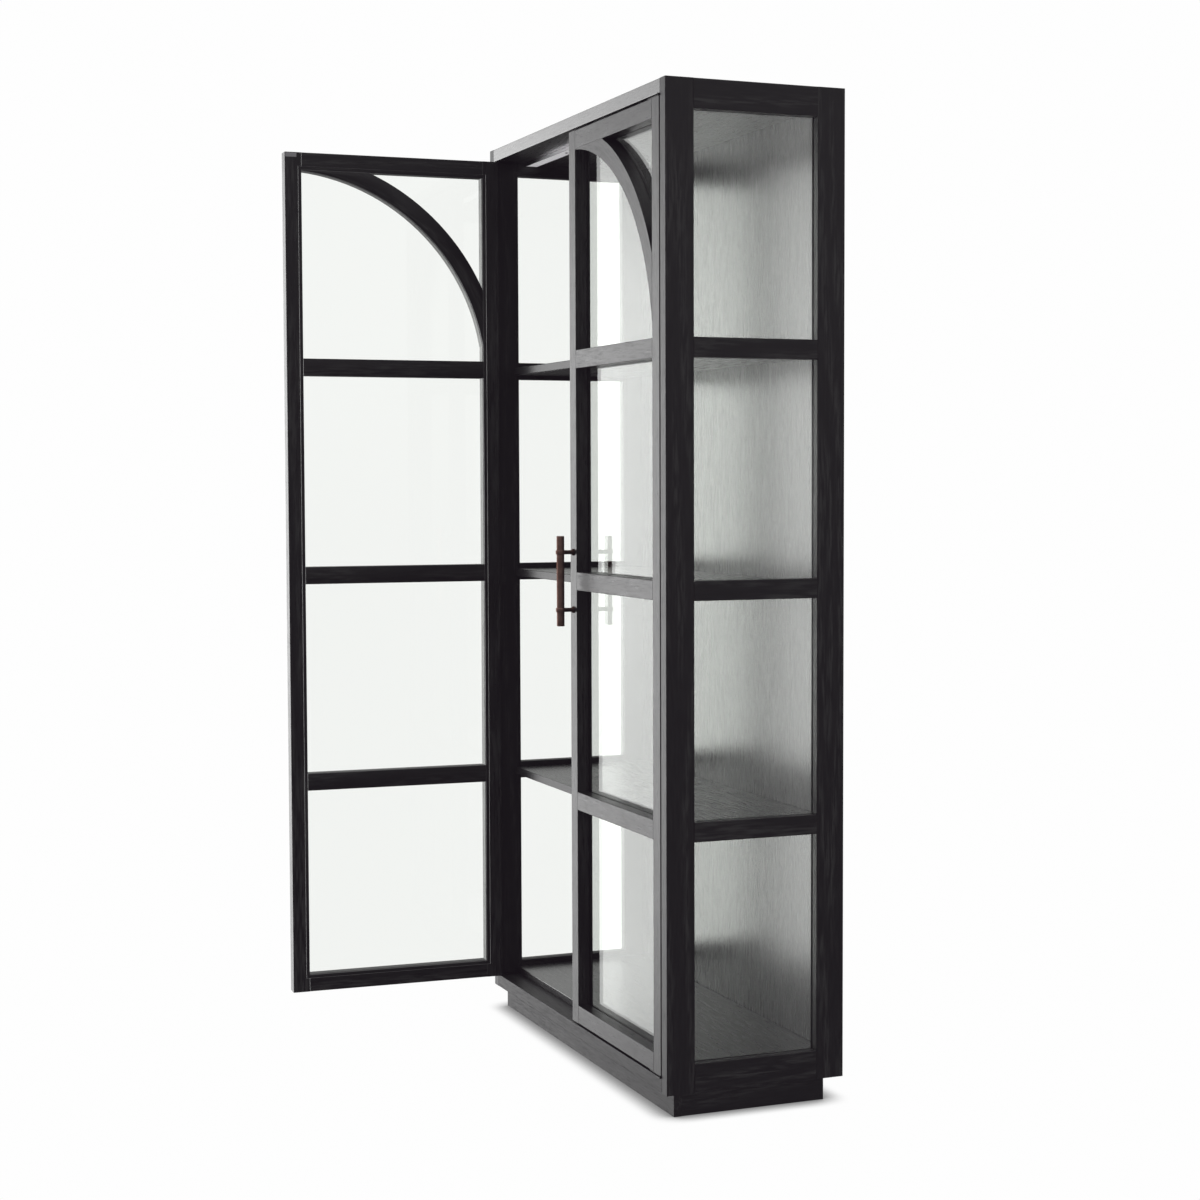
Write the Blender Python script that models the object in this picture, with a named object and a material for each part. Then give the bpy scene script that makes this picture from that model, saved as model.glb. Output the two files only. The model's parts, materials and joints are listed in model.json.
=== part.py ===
"""Arched glass display showcase, 110 x 40 x 210 cm, in black-stained oak.

A glazed carcase on a recessed plinth holds three shelves and a light strip.
Two framed glass doors hang on offset pivot plates at their top and bottom
corners.  The left door stands open and the right door is closed.

Units are metres.  X runs to the right, Y to the rear and Z up.  The origin
is on the floor, at the middle of the cabinet's footprint.
"""
from math import acos, asin, cos, radians, sin

import bmesh
import bpy
from mathutils import Matrix, Vector

# Overall size
WIDTH = 1.100
DEPTH = 0.400
HEIGHT = 2.100
LEFT = -WIDTH / 2
RIGHT = WIDTH / 2
FRONT = -DEPTH / 2
REAR = DEPTH / 2

# Fits between separate pieces
JOINT = 0.0002          # hairline at a glued joint
SIDE_GAP = 0.004        # door to side frame
MEETING_GAP = 0.003     # door to door
END_GAP = 0.005         # door to top and bottom panel

# Plinth
PLINTH_HEIGHT = 0.052
PLINTH_BOARD = 0.018
PLINTH_SIDE_SETBACK = 0.024
PLINTH_FRONT_SETBACK = 0.025
PLINTH_REAR_SETBACK = 0.034

# Carcase
PANEL = 0.029           # top and bottom panels
SIDE = 0.028            # thickness of the glazed side frames
STILE = 0.062
RAIL = 0.060
BAR = 0.0405            # height of every crossbar, in sides and doors
BAR_PITCH = 0.490
MIDDLE_BAR_Z = 1.077
BACK_BOARD = 0.008
BACK_INSET = 0.007
SHELF = 0.018
SHELF_SETBACK = 0.050   # shelf edge behind the cabinet's front
SHELF_RISE = 0.0075     # shelf surface above the middle of its crossbar
FLOOR_Z = 0.098         # surface of the inner floor

# Doors
DOOR = 0.035
DOOR_STILE = 0.039
DOOR_RAIL = 0.040
ARCH_CENTRE_Z = 1.540
ARCH_INNER = 0.486
ARCH_OUTER = 0.526
ARCH_STEPS = 28
LEFT_DOOR_OPEN = radians(92)

# Glass, held in a pocket that is open towards the inside
GLASS = 0.004
GLASS_LAP = 0.008
SIDE_BEAD = 0.0050
DOOR_BEAD = 0.0050

# Pivot plates
PLATE = 0.0020
PIVOT_OFFSET = 0.0005   # axis outside the door's corner, both ways
PIVOT_EYE = 0.0032
PIVOT_PIN = 0.0016
PIVOT_BORE = 0.00168
PLATE_CLEARANCE = 0.0002
PIN_SHORT = 0.0001      # pin's tip short of the plate's far face
EYE_STEPS = 14
LEAF_WIDTH = 0.0148
DOOR_LEAF = 0.062       # length along the door's edge
CABINET_LEAF = 0.048    # length from the axis towards the rear

# Handle of the right door
HANDLE_LENGTH = 0.200
HANDLE_RADIUS = 0.0085
HANDLE_POSTS = 0.128
HANDLE_REACH = 0.031    # bar's axis in front of the door
POST_RADIUS = 0.0048
COLLAR_RADIUS = 0.0105
COLLAR_LENGTH = 0.009
ROSETTE_RADIUS = 0.0075

# Light strip under the top panel
STRIP_Y = FRONT + 0.095
STRIP_WIDTH = 0.030
STRIP_HEIGHT = 0.007
STRIP_WALL = 0.0015

EASE = 0.0012           # rounding along the wooden edges

# Worked out from the above
INNER_X = WIDTH / 2 - SIDE
CLEAR_TOP = HEIGHT - PANEL
CLEAR_BOTTOM = PLINTH_HEIGHT + PANEL
BAR_CENTRES = [MIDDLE_BAR_Z + step * BAR_PITCH for step in (1, 0, -1)]
BAR_NAMES = ["upper", "middle", "lower"]
DOOR_TOP = CLEAR_TOP - END_GAP
DOOR_BOTTOM = CLEAR_BOTTOM + END_GAP
DOOR_EDGE = INNER_X - SIDE_GAP
DOOR_MEET = MEETING_GAP / 2
PIVOT_X = DOOR_EDGE + PIVOT_OFFSET
PIVOT_Y = FRONT - PIVOT_OFFSET
BACK_Y = REAR - BACK_INSET - BACK_BOARD

MATERIALS = {}


def clear_scene():
    for item in list(bpy.data.objects):
        bpy.data.objects.remove(item, do_unlink=True)


def make_material(name, colour, roughness, metallic=0.0, alpha=1.0):
    material = bpy.data.materials.new(name)
    material.use_nodes = True
    shader = material.node_tree.nodes["Principled BSDF"]
    shader.inputs["Base Color"].default_value = (*colour, 1.0)
    shader.inputs["Roughness"].default_value = roughness
    shader.inputs["Metallic"].default_value = metallic
    shader.inputs["Alpha"].default_value = alpha
    MATERIALS[name] = material


def make_materials():
    make_material("black_oak", (0.018, 0.017, 0.018), 0.42)
    make_material("clear_glass", (0.86, 0.92, 0.89), 0.03, alpha=0.25)
    make_material("aged_bronze", (0.20, 0.12, 0.09), 0.38, metallic=0.9)
    make_material("black_metal", (0.03, 0.03, 0.03), 0.45, metallic=0.8)
    make_material("satin_aluminium", (0.70, 0.69, 0.71), 0.35, metallic=1.0)
    make_material("opal_plastic", (0.82, 0.81, 0.83), 0.55)
    make_material("black_plastic", (0.03, 0.03, 0.03), 0.5)


def add_object(name, mesh_data, material, parent=None):
    """Turn a bmesh into a named object, and free the bmesh."""
    bmesh.ops.recalc_face_normals(mesh_data, faces=mesh_data.faces[:])
    mesh = bpy.data.meshes.new(name)
    mesh_data.to_mesh(mesh)
    mesh_data.free()
    item = bpy.data.objects.new(name, mesh)
    bpy.context.collection.objects.link(item)
    if material:
        mesh.materials.append(MATERIALS[material])
    if parent:
        item.parent = parent
    return item


def box_mesh(low, high):
    mesh_data = bmesh.new()
    size = Vector(high) - Vector(low)
    middle = (Vector(high) + Vector(low)) / 2
    place = Matrix.Translation(middle) @ Matrix.Diagonal((*size, 1.0))
    bmesh.ops.create_cube(mesh_data, size=1.0, matrix=place)
    return mesh_data


def ease_edges(mesh_data, axis, radius):
    """Round the edges that run along one axis."""
    chosen = []
    for edge in mesh_data.edges:
        run = edge.verts[1].co - edge.verts[0].co
        if abs(run[axis]) > 0.999 * run.length:
            chosen.append(edge)
    bmesh.ops.bevel(mesh_data, geom=chosen, offset=radius, segments=2,
                    profile=0.5, affect="EDGES")


def board(name, low, high, axis, material="black_oak", parent=None, ease=EASE):
    """A board with its grain along an axis (0, 1 or 2) and eased long edges."""
    mesh_data = box_mesh(low, high)
    ease_edges(mesh_data, axis, ease)
    return add_object(name, mesh_data, material, parent)


def extrude_outline(points, start, end, plane):
    """Close an outline and push it from start to end across its plane.

    The plane is "xz", with the push along Y, or "xy", with the push along Z,
    or "yz", with the push along X.
    """
    mesh_data = bmesh.new()
    place = {
        "xz": lambda a, b, c: (a, c, b),
        "xy": lambda a, b, c: (a, b, c),
        "yz": lambda a, b, c: (c, a, b),
    }[plane]
    ring = [mesh_data.verts.new(place(a, b, start)) for a, b in points]
    face = mesh_data.faces.new(ring)
    pushed = bmesh.ops.extrude_face_region(mesh_data, geom=[face])
    shift = Vector(place(0.0, 0.0, end - start))
    moved = [part for part in pushed["geom"] if isinstance(part, bmesh.types.BMVert)]
    bmesh.ops.translate(mesh_data, verts=moved, vec=shift)
    return mesh_data


def cylinder_mesh(radius, start, end, segments):
    """A capped cylinder from one point to another."""
    mesh_data = bmesh.new()
    start = Vector(start)
    end = Vector(end)
    run = end - start
    turn = Vector((0, 0, 1)).rotation_difference(run.normalized()).to_matrix().to_4x4()
    place = Matrix.Translation((start + end) / 2) @ turn
    bmesh.ops.create_cone(mesh_data, cap_ends=True, segments=segments, radius1=radius,
                          radius2=radius, depth=run.length, matrix=place)
    return mesh_data


def make_cutter(name, mesh_data, parent=None):
    """A hidden helper that shapes other pieces and isn't one itself."""
    helper = add_object(name, mesh_data, None, parent)
    helper.hide_render = True
    helper.display_type = "WIRE"
    return helper


def combine(item, helper, operation):
    modifier = item.modifiers.new(helper.name, "BOOLEAN")
    modifier.operation = operation
    modifier.solver = "EXACT"
    modifier.object = helper


def make_plinth():
    outer = WIDTH / 2 - PLINTH_SIDE_SETBACK
    inner = outer - PLINTH_BOARD
    front = FRONT + PLINTH_FRONT_SETBACK
    rear = REAR - PLINTH_REAR_SETBACK
    behind = front + PLINTH_BOARD + JOINT
    top = PLINTH_HEIGHT - JOINT
    board("plinth_front", (-outer, front, 0), (outer, front + PLINTH_BOARD, top), 0)
    board("plinth_left", (-outer, behind, 0), (-inner, rear, top), 1)
    board("plinth_right", (inner, behind, 0), (outer, rear, top), 1)
    end = inner - JOINT
    board("plinth_back", (-end, rear - PLINTH_BOARD, 0), (end, rear, top), 0)
    half = PLINTH_BOARD / 2
    board("plinth_centre_rail", (-half, behind, 0),
          (half, rear - PLINTH_BOARD - JOINT, top), 1)


def make_panels():
    end = INNER_X - JOINT
    board("bottom_panel", (-end, FRONT, PLINTH_HEIGHT), (end, REAR, CLEAR_BOTTOM), 0)
    board("top_panel", (-end, FRONT, CLEAR_TOP), (end, REAR, HEIGHT), 0)
    shelf_front = FRONT + SHELF_SETBACK
    board("inner_floor", (-end, shelf_front, CLEAR_BOTTOM + JOINT),
          (end, BACK_Y - JOINT, FLOOR_Z), 0)
    board("back_panel", (-end, BACK_Y, CLEAR_BOTTOM + JOINT),
          (end, BACK_Y + BACK_BOARD, CLEAR_TOP - JOINT), 2, ease=0.0006)
    for name, centre in zip(BAR_NAMES, BAR_CENTRES):
        surface = centre + SHELF_RISE
        board(f"{name}_shelf", (-end, shelf_front, surface - SHELF),
              (end, BACK_Y - JOINT, surface), 0)


def make_side(name, sign):
    """One glazed side frame: two stiles, two rails, three bars and its glass."""
    outer = sign * WIDTH / 2
    inner = sign * INNER_X
    low_x = min(outer, inner)
    high_x = max(outer, inner)
    bottom = PLINTH_HEIGHT
    front_edge = FRONT + STILE
    rear_edge = REAR - STILE
    pane_bottom = bottom + RAIL
    pane_top = HEIGHT - RAIL

    pocket_depth = SIDE_BEAD + GLASS + 2 * JOINT
    lap = GLASS_LAP + JOINT
    pocket_x = sorted((inner - sign * 0.005, inner + sign * pocket_depth))
    pocket = make_cutter(f"helper_{name}_glass_pocket", box_mesh(
        (pocket_x[0], front_edge - lap, pane_bottom - lap),
        (pocket_x[1], rear_edge + lap, pane_top + lap)))

    members = [
        board(f"{name}_front_stile", (low_x, FRONT, bottom), (high_x, front_edge, HEIGHT), 2),
        board(f"{name}_rear_stile", (low_x, rear_edge, bottom), (high_x, REAR, HEIGHT), 2),
    ]
    start = front_edge + JOINT
    end = rear_edge - JOINT
    members.append(board(f"{name}_top_rail", (low_x, start, pane_top), (high_x, end, HEIGHT), 1))
    members.append(board(f"{name}_bottom_rail", (low_x, start, bottom), (high_x, end, pane_bottom), 1))
    for bar_name, centre in zip(BAR_NAMES, BAR_CENTRES):
        members.append(board(f"{name}_{bar_name}_bar", (low_x, start, centre - BAR / 2),
                             (high_x, end, centre + BAR / 2), 1))
    for member in members:
        combine(member, pocket, "DIFFERENCE")

    glass_x = sorted(inner + sign * (SIDE_BEAD + JOINT + step) for step in (0, GLASS))
    board(f"{name}_glass", (glass_x[0], front_edge - GLASS_LAP, pane_bottom - GLASS_LAP),
          (glass_x[1], rear_edge + GLASS_LAP, pane_top + GLASS_LAP), 2, "clear_glass", ease=0.0006)


def make_hinge_empty(name, sign, opening):
    """An empty on a door's pivot axis.  Its door is its child."""
    empty = bpy.data.objects.new(name, None)
    bpy.context.collection.objects.link(empty)
    empty.location = (sign * PIVOT_X, PIVOT_Y, 0)
    empty.rotation_euler = (0, 0, sign * opening)
    return empty


def arch_outline(sign, meet_x, side_x, top_z):
    """Outline of a quarter-arch rail between the meeting and hinge stiles."""
    def arc(radius, first, last):
        turns = [first + (last - first) * step / ARCH_STEPS for step in range(ARCH_STEPS + 1)]
        return [(sign * (radius * sin(turn) - PIVOT_X), ARCH_CENTRE_Z + radius * cos(turn))
                for turn in turns]

    crown = asin(meet_x / ARCH_INNER)
    foot = asin(side_x / ARCH_INNER)
    shoulder = asin(side_x / ARCH_OUTER)
    crest = acos((top_z - ARCH_CENTRE_Z) / ARCH_OUTER)
    points = arc(ARCH_INNER, crown, foot) + arc(ARCH_OUTER, shoulder, crest)
    points.append((sign * (meet_x - PIVOT_X), top_z))
    return points


def make_door(name, sign, opening):
    """One door, built closed about its pivot and then turned open."""
    hinge = make_hinge_empty(f"{name}_pivot", sign, opening)

    def at(x, y, z):
        """Cabinet coordinates of the closed right-hand door to pivot coordinates."""
        return (sign * (x - PIVOT_X), y - PIVOT_Y, z)

    def span(low, high):
        first = at(*low)
        second = at(*high)
        return (tuple(min(pair) for pair in zip(first, second)),
                tuple(max(pair) for pair in zip(first, second)))

    front = FRONT
    rear = FRONT + DOOR
    meet = DOOR_MEET + DOOR_STILE
    side = DOOR_EDGE - DOOR_STILE
    top = DOOR_TOP - DOOR_RAIL
    bottom = DOOR_BOTTOM + DOOR_RAIL
    left = meet + JOINT
    right = side - JOINT

    pocket_depth = DOOR_BEAD + GLASS + 2 * JOINT
    lap = GLASS_LAP + JOINT
    pocket = make_cutter(f"helper_{name}_glass_pocket", box_mesh(*span(
        (meet - lap, rear - pocket_depth, bottom - lap),
        (side + lap, rear + 0.005, top + lap))), hinge)

    def member(piece, low, high, axis):
        return board(f"{name}_{piece}", *span(low, high), axis, parent=hinge)

    members = [
        member("hinge_stile", (side, front, DOOR_BOTTOM), (DOOR_EDGE, rear, DOOR_TOP), 2),
        member("meeting_stile", (DOOR_MEET, front, DOOR_BOTTOM), (meet, rear, DOOR_TOP), 2),
        member("top_rail", (left, front, top), (right, rear, DOOR_TOP), 0),
        member("bottom_rail", (left, front, DOOR_BOTTOM), (right, rear, bottom), 0),
    ]
    for bar_name, centre in zip(BAR_NAMES, BAR_CENTRES):
        members.append(member(f"{bar_name}_bar", (left, front, centre - BAR / 2),
                              (right, rear, centre + BAR / 2), 0))
    outline = arch_outline(sign, left, right, top - JOINT)
    arch = extrude_outline(outline, front - PIVOT_Y, rear - PIVOT_Y, "xz")
    members.append(add_object(f"{name}_arch", arch, "black_oak", hinge))
    for item in members:
        combine(item, pocket, "DIFFERENCE")

    glass_rear = rear - DOOR_BEAD - JOINT
    low, high = span((meet - GLASS_LAP, glass_rear - GLASS, bottom - GLASS_LAP),
                     (side + GLASS_LAP, glass_rear, top + GLASS_LAP))
    board(f"{name}_glass", low, high, 2, "clear_glass", hinge, ease=0.0006)
    make_door_plates(name, sign, hinge)
    return hinge


def eye_outline(first, last, leaf, inward, centre=(0.0, 0.0)):
    """A round pivot eye that grows into a leaf, mirrored to open inward."""
    points = []
    for step in range(EYE_STEPS + 1):
        turn = first + (last - first) * step / EYE_STEPS
        points.append((PIVOT_EYE * cos(turn), PIVOT_EYE * sin(turn)))
    points += leaf
    return [(centre[0] + inward * x, centre[1] + y) for x, y in points]


def make_door_plates(name, sign, hinge):
    """The plates on the door's top and bottom edges, with their pivot bores."""
    leaf = [(0.0075, 0.0015), (DOOR_LEAF, 0.0015), (DOOR_LEAF, LEAF_WIDTH), (0.0008, LEAF_WIDTH)]
    outline = eye_outline(radians(75), radians(330), leaf, -sign)
    heights = {
        "top": DOOR_TOP + PLATE_CLEARANCE,
        "bottom": DOOR_BOTTOM - PLATE_CLEARANCE - PLATE,
    }
    for end, base in heights.items():
        plate = add_object(f"{name}_{end}_plate", extrude_outline(outline, base, base + PLATE, "xy"),
                           "black_metal", hinge)
        bore = make_cutter(f"helper_{name}_{end}_bore", cylinder_mesh(
            PIVOT_BORE, (0, 0, base - PLATE), (0, 0, base + 2 * PLATE), 24), hinge)
        combine(plate, bore, "DIFFERENCE")


def make_cabinet_plates(name, sign):
    """The plates on the top and bottom panels, with the pins the doors turn on."""
    axis = (sign * PIVOT_X, PIVOT_Y)
    leaf = [(LEAF_WIDTH - PIVOT_EYE, 0.010), (LEAF_WIDTH - PIVOT_EYE, CABINET_LEAF),
            (-PIVOT_EYE, CABINET_LEAF)]
    outline = eye_outline(radians(180), radians(360), leaf, -sign, axis)
    ends = {
        "top": (CLEAR_TOP - PLATE_CLEARANCE - PLATE, DOOR_TOP + PLATE_CLEARANCE + PIN_SHORT),
        "bottom": (CLEAR_BOTTOM + PLATE_CLEARANCE, DOOR_BOTTOM - PLATE_CLEARANCE - PIN_SHORT),
    }
    for end, (base, tip) in ends.items():
        plate = add_object(f"{name}_{end}_pivot_plate",
                           extrude_outline(outline, base, base + PLATE, "xy"), "black_metal")
        pin = make_cutter(f"helper_{name}_{end}_pin", cylinder_mesh(
            PIVOT_PIN, (*axis, base + PLATE / 2), (*axis, tip), 20))
        combine(plate, pin, "UNION")


def make_handle(hinge):
    """Bar handle on the right door's meeting stile."""
    x = DOOR_MEET + DOOR_STILE / 2 - PIVOT_X
    face_y = FRONT - PIVOT_Y
    bar_y = face_y - HANDLE_REACH
    half = HANDLE_LENGTH / 2
    bar = cylinder_mesh(HANDLE_RADIUS, (x, bar_y, MIDDLE_BAR_Z - half),
                        (x, bar_y, MIDDLE_BAR_Z + half), 32)
    rims = [edge for edge in bar.edges if abs(edge.verts[0].co.z - edge.verts[1].co.z) < 1e-6]
    bmesh.ops.bevel(bar, geom=rims, offset=0.0012, segments=2, profile=0.5, affect="EDGES")
    add_object("handle_bar", bar, "aged_bronze", hinge)

    for name, lift in (("upper", HANDLE_POSTS / 2), ("lower", -HANDLE_POSTS / 2)):
        z = MIDDLE_BAR_Z + lift
        make_handle_post(name, hinge, x, face_y, bar_y, z)


def make_handle_post(name, hinge, x, face_y, bar_y, z):
    """A rosette and stem that end in a collar around the bar."""
    seat = face_y - PLATE_CLEARANCE
    post = add_object(f"handle_{name}_post",
                      cylinder_mesh(POST_RADIUS, (x, seat - 0.001, z), (x, bar_y, z), 24),
                      "aged_bronze", hinge)
    rosette = make_cutter(f"helper_{name}_rosette", cylinder_mesh(
        ROSETTE_RADIUS, (x, seat, z), (x, seat - 0.003, z), 28), hinge)
    collar = make_cutter(f"helper_{name}_collar", cylinder_mesh(
        COLLAR_RADIUS, (x, bar_y, z - COLLAR_LENGTH / 2), (x, bar_y, z + COLLAR_LENGTH / 2), 32), hinge)
    bore = make_cutter(f"helper_{name}_collar_bore", cylinder_mesh(
        HANDLE_RADIUS + JOINT, (x, bar_y, z - 0.02), (x, bar_y, z + 0.02), 32), hinge)
    combine(post, rosette, "UNION")
    combine(post, collar, "UNION")
    combine(post, bore, "DIFFERENCE")


def make_light_strip():
    """An aluminium channel with an opal cover, screwed under the top panel."""
    end = INNER_X - 0.006
    top = CLEAR_TOP - JOINT
    low = top - STRIP_HEIGHT
    half = STRIP_WIDTH / 2
    wall = half - STRIP_WALL
    ceiling = top - STRIP_WALL
    section = [
        (STRIP_Y - half, low), (STRIP_Y - half, top), (STRIP_Y + half, top), (STRIP_Y + half, low),
        (STRIP_Y + wall, low), (STRIP_Y + wall, ceiling), (STRIP_Y - wall, ceiling), (STRIP_Y - wall, low),
    ]
    add_object("light_channel", extrude_outline(section, -end, end, "yz"), "satin_aluminium")
    cover = wall - JOINT
    board("light_cover", (-end, STRIP_Y - cover, low + 0.0004),
          (end, STRIP_Y + cover, low + 0.0034), 0, "opal_plastic", ease=0.0004)


def make_catch():
    """A double magnetic catch behind the meeting stiles' upper ends."""
    rear_of_door = FRONT + DOOR
    top = CLEAR_TOP - JOINT
    board("magnetic_catch", (-0.030, rear_of_door + 0.0006, top - 0.013),
          (0.030, rear_of_door + 0.0146, top), 0, "black_plastic", ease=0.0008)


def main():
    clear_scene()
    make_materials()
    make_plinth()
    make_panels()
    make_side("left_side", -1)
    make_side("right_side", 1)
    make_door("left_door", -1, LEFT_DOOR_OPEN)
    right_hinge = make_door("right_door", 1, 0.0)
    make_cabinet_plates("left", -1)
    make_cabinet_plates("right", 1)
    make_handle(right_hinge)
    make_light_strip()
    make_catch()


main()
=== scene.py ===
"""Looks for the arched glass display showcase: materials, glazing bars, fittings and studio.

Units are metres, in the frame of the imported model: X to the right, Y to the rear, Z up.
"""
import json
from math import acos, asin, cos, pi, radians, sin

import bmesh
import bpy
from mathutils import Matrix, Vector


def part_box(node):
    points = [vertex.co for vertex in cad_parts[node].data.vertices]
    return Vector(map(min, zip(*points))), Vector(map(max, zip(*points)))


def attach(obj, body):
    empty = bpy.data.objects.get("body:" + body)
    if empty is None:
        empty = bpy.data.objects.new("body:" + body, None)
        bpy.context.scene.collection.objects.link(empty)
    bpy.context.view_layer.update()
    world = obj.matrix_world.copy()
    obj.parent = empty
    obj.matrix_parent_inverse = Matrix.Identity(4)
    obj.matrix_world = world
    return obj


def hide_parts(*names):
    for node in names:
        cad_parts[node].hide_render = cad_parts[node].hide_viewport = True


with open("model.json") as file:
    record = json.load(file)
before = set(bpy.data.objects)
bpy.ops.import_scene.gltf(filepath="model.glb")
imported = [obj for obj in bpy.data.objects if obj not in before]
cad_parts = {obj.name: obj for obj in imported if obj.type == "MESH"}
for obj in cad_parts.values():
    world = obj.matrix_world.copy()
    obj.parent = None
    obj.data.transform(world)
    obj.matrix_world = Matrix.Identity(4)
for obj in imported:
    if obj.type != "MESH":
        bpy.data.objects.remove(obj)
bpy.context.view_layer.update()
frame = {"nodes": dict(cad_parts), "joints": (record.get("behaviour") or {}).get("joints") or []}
NODES = frame["nodes"]
JOINTS = {joint["name"]: joint for joint in frame["joints"]}

# Camera, at eye height to the right of the cabinet
CAMERA_AT = Vector((4.6404, -1.9232, 1.3017))
CAMERA_HEADING = radians(67.561)    # from +Y towards -X
CAMERA_PITCH = radians(-3.108)
CAMERA_ROLL = radians(-0.131)
CAMERA_LENS = 66.56                 # mm, on a 36 mm sensor
CAMERA_SHIFT = -0.0420              # share of the frame's width

# Clearances and small edges
HAIR = 0.0002                       # hairline beside a fitted piece
BEAD_EDGE = 0.0012                  # rounding on a glazing bead
BAR_EDGE = 0.0012                   # rounding on an inner glazing bar
RADIAL_STEPS = 48                   # sides of the round pieces
SCREW_STEPS = 24                    # sides of a screw head, four to each lobe

BAR_NAMES = ("upper", "middle", "lower")
SIDE_SIGNS = {"left": -1, "right": 1}


# ---------------------------------------------------------------- node trees

class Graph:
    """Short calls that build one node tree."""

    def __init__(self, tree):
        self.tree = tree
        self.nodes = tree.nodes
        self.nodes.clear()

    def add(self, kind, **settings):
        node = self.nodes.new(kind)
        for name, value in settings.items():
            setattr(node, name, value)
        return node

    def feed(self, socket, value):
        """Link a socket to another node's output, or give it a plain value."""
        if isinstance(value, bpy.types.NodeSocket):
            self.tree.links.new(value, socket)
        else:
            socket.default_value = value

    def math(self, operation, *values):
        node = self.add("ShaderNodeMath", operation=operation)
        for socket, value in zip(node.inputs, values):
            self.feed(socket, value)
        return node.outputs[0]

    def vector(self, operation, *values, output=0):
        node = self.add("ShaderNodeVectorMath", operation=operation)
        for socket, value in zip(node.inputs, values):
            self.feed(socket, value)
        return node.outputs[output]

    def remap(self, value, low, high, start=0.0, end=1.0):
        """A smooth step from start to end as value goes from low to high."""
        node = self.add("ShaderNodeMapRange", interpolation_type="SMOOTHSTEP")
        self.feed(node.inputs["Value"], value)
        node.inputs["From Min"].default_value = low
        node.inputs["From Max"].default_value = high
        node.inputs["To Min"].default_value = start
        node.inputs["To Max"].default_value = end
        return node.outputs["Result"]

    def noise(self, place, scale, detail=2.0, roughness=0.5, distortion=0.0):
        node = self.add("ShaderNodeTexNoise")
        self.feed(node.inputs["Vector"], place)
        node.inputs["Scale"].default_value = scale
        node.inputs["Detail"].default_value = detail
        node.inputs["Roughness"].default_value = roughness
        node.inputs["Distortion"].default_value = distortion
        return node.outputs["Fac"]

    def mapping(self, place, location=(0, 0, 0), rotation=(0, 0, 0), scale=(1, 1, 1)):
        node = self.add("ShaderNodeMapping", vector_type="POINT")
        self.feed(node.inputs["Vector"], place)
        node.inputs["Location"].default_value = location
        node.inputs["Rotation"].default_value = rotation
        node.inputs["Scale"].default_value = scale
        return node.outputs["Vector"]

    def mix(self, share, first, second):
        """A colour between two others."""
        node = self.add("ShaderNodeMix", data_type="RGBA")
        colours = [socket for socket in node.inputs if socket.type == "RGBA"]
        self.feed(node.inputs[0], share)
        self.feed(colours[0], first)
        self.feed(colours[1], second)
        return [socket for socket in node.outputs if socket.type == "RGBA"][0]

    def bump(self, height, strength, distance):
        node = self.add("ShaderNodeBump")
        node.inputs["Strength"].default_value = strength
        node.inputs["Distance"].default_value = distance
        self.feed(node.inputs["Height"], height)
        return node.outputs["Normal"]


def new_material(name):
    material = bpy.data.materials.new(name)
    material.use_nodes = True
    return material, Graph(material.node_tree)


def object_place(graph):
    return graph.add("ShaderNodeTexCoord").outputs["Object"]


def finish_surface(graph, shader):
    output = graph.add("ShaderNodeOutputMaterial")
    graph.tree.links.new(shader, output.inputs["Surface"])


def principled(graph, colour, roughness, normal=None, metallic=0.0, **plain):
    """A Principled BSDF with its own values, ready on the material's output."""
    shader = graph.add("ShaderNodeBsdfPrincipled")
    graph.feed(shader.inputs["Base Color"], colour)
    graph.feed(shader.inputs["Roughness"], roughness)
    shader.inputs["Metallic"].default_value = metallic
    for name, value in plain.items():
        shader.inputs[name.replace("_", " ")].default_value = value
    if normal is not None:
        graph.feed(shader.inputs["Normal"], normal)
    finish_surface(graph, shader.outputs[0])


def worn_edge(graph, width, low, high):
    """1 on a sharp edge and 0 on the flats, from how much a rounded normal leans."""
    rounded = graph.add("ShaderNodeBevel", samples=4)
    rounded.inputs["Radius"].default_value = width
    flat = graph.add("ShaderNodeNewGeometry").outputs["Normal"]
    lean = graph.vector("DOT_PRODUCT", rounded.outputs["Normal"], flat, output="Value")
    return graph.remap(graph.math("SUBTRACT", 1.0, lean), low, high)


# ---------------------------------------------------------------- doors' places

def door_pose(side):
    """Takes closed right-hand door coordinates to where this door is at rest."""
    if side == "right":
        return Matrix.Identity(4)
    joint = JOINTS["left_door_hinge"]
    pivot = Matrix.Translation(joint["pos_m"])
    opened = Matrix.Rotation(-radians(joint["range_deg"][1]), 4, "Z")
    mirror = Matrix.Diagonal((-1, 1, 1, 1))
    return pivot @ opened @ pivot.inverted() @ mirror


# ---------------------------------------------------------------- oak

OAK_DARK = (0.0044, 0.0041, 0.0044, 1.0)
OAK_LIGHT = (0.0225, 0.0226, 0.0220, 1.0)
OAK_WORN = (0.0550, 0.0420, 0.0330, 1.0)
GRAIN_STRETCH = 0.07                # how slowly the grain changes along a board
PORE_STRETCH = 0.03
FIGURE_SCALE = 10.0                 # cathedral figure, waves per metre across
FIGURE_RINGS = 7.0
STREAK_SCALE = 240.0
PORE_SCALE = 1100.0
SEED_STEP = Vector((0.731, 0.377, 0.913))   # how far one board's grain is from the next one's
LIPPING_DEPTH = (0.0004, 0.0008)    # where a shelf's matt front edge ends, behind its face
LIPPING_ROUGHNESS = 0.92


def stretched(axis, amount):
    """A scale that draws a pattern out along one axis."""
    scale = [1.0, 1.0, 1.0]
    scale["XYZ".index(axis)] = amount
    return scale


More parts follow.
